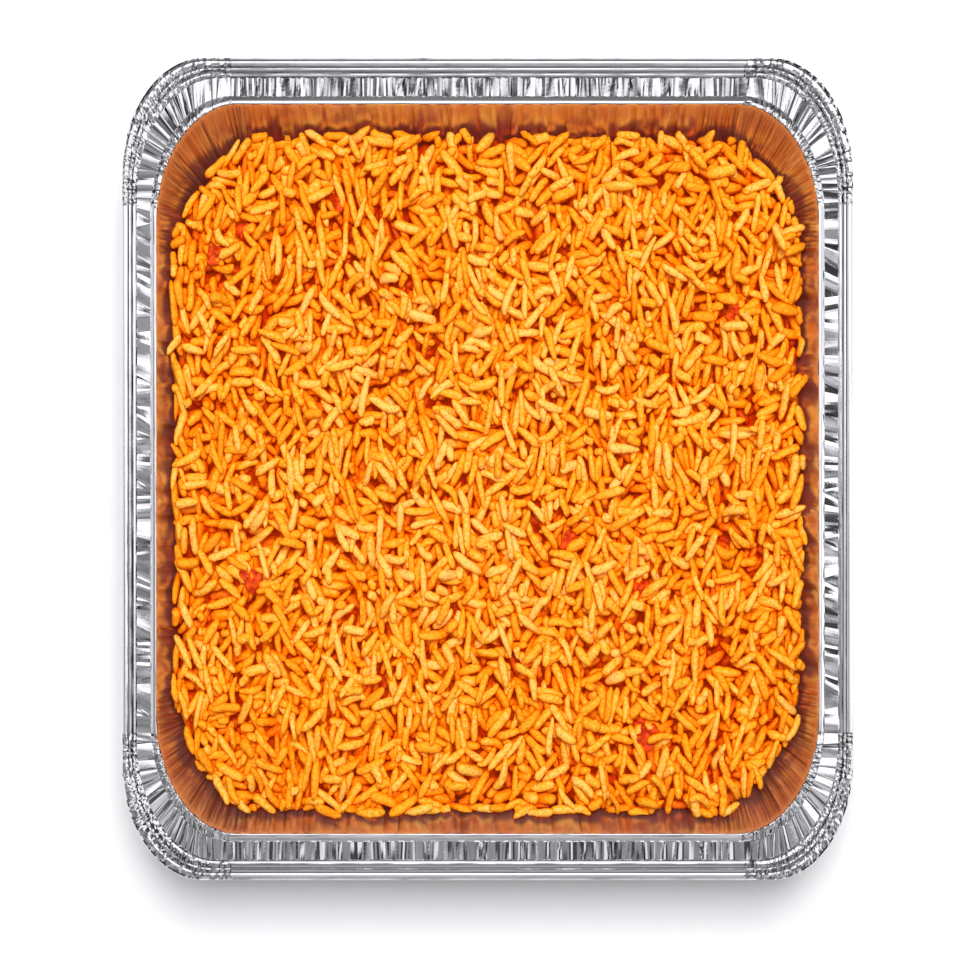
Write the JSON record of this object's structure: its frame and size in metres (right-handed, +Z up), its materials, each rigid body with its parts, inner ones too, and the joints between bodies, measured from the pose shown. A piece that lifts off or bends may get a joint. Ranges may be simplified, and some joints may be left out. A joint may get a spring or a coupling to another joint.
{
  "type": "tray of mexican rice",
  "caption": "Rounded foil tray with a rolled rim, filled with orange long-grain rice cooked with tomato. The rice lies loose in the tray and ends just below the rim.",
  "frame": {"origin": "on the surface the tray stands on, under the middle of the rim", "axes": "+Z up, +Y to the back, which is the top of the picture, +X to the right as seen from above"},
  "size_m": [0.264, 0.2966, 0.056],
  "materials": {
    "foil": "bright pressed foil, crimped",
    "rice": "moist cooked rice, slightly oily"
  },
  "bodies": {
    "root": {"foil_tray": "foil", "rice": "rice"}
  },
  "joints": []
}
